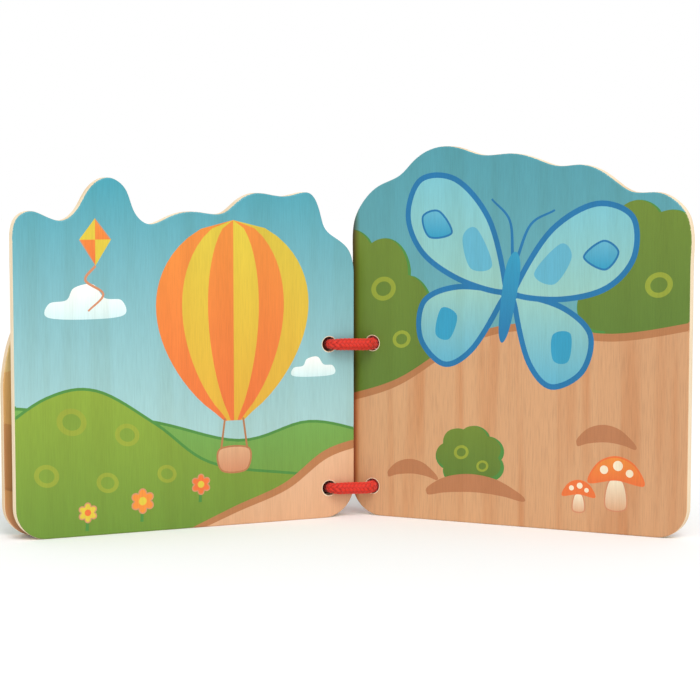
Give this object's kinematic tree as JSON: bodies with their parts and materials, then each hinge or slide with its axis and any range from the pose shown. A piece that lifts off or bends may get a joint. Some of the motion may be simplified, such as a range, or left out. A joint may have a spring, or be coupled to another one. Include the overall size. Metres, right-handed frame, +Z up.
{
  "type": "baby book",
  "caption": "Wooden baby book of thick shaped leaves tied at the spine by braided cord loops, standing open in a V.",
  "frame": {"origin": "centre of the bounding box in plan, on the table that the leaves stand on", "axes": "+Z up; +X across the open book, to the right as the reader looks into the V; +Y away from the reader, out of the back of the spine"},
  "size_m": [0.2618, 0.0844, 0.1486],
  "materials": {
    "printed_wood": "pale close-grained wood, printed on its faces in satin ink, bare on its edges",
    "cord": "round braided cord, red"
  },
  "bodies": {
    "middle_leaf": {"middle_leaf": "printed_wood", "lower_cord_loop": "cord", "upper_cord_loop": "cord"},
    "front_cover": {"front_cover": "printed_wood"},
    "back_cover": {"back_cover": "printed_wood"}
  },
  "joints": [
    {"name": "back_cover_hinge", "type": "hinge", "parent": "middle_leaf", "child": "back_cover", "pos_m": [0.00184, 0.01889, 0], "axis": [0, 0, 1], "range_deg": [-129.2, 50.8], "deforming": ["lower_cord_loop", "upper_cord_loop"]},
    {"name": "front_cover_hinge", "type": "hinge", "parent": "middle_leaf", "child": "front_cover", "pos_m": [-0.00238, 0.02602, 0], "axis": [0, 0, 1], "range_deg": [-178, 2], "deforming": ["lower_cord_loop", "upper_cord_loop"]}
  ]
}
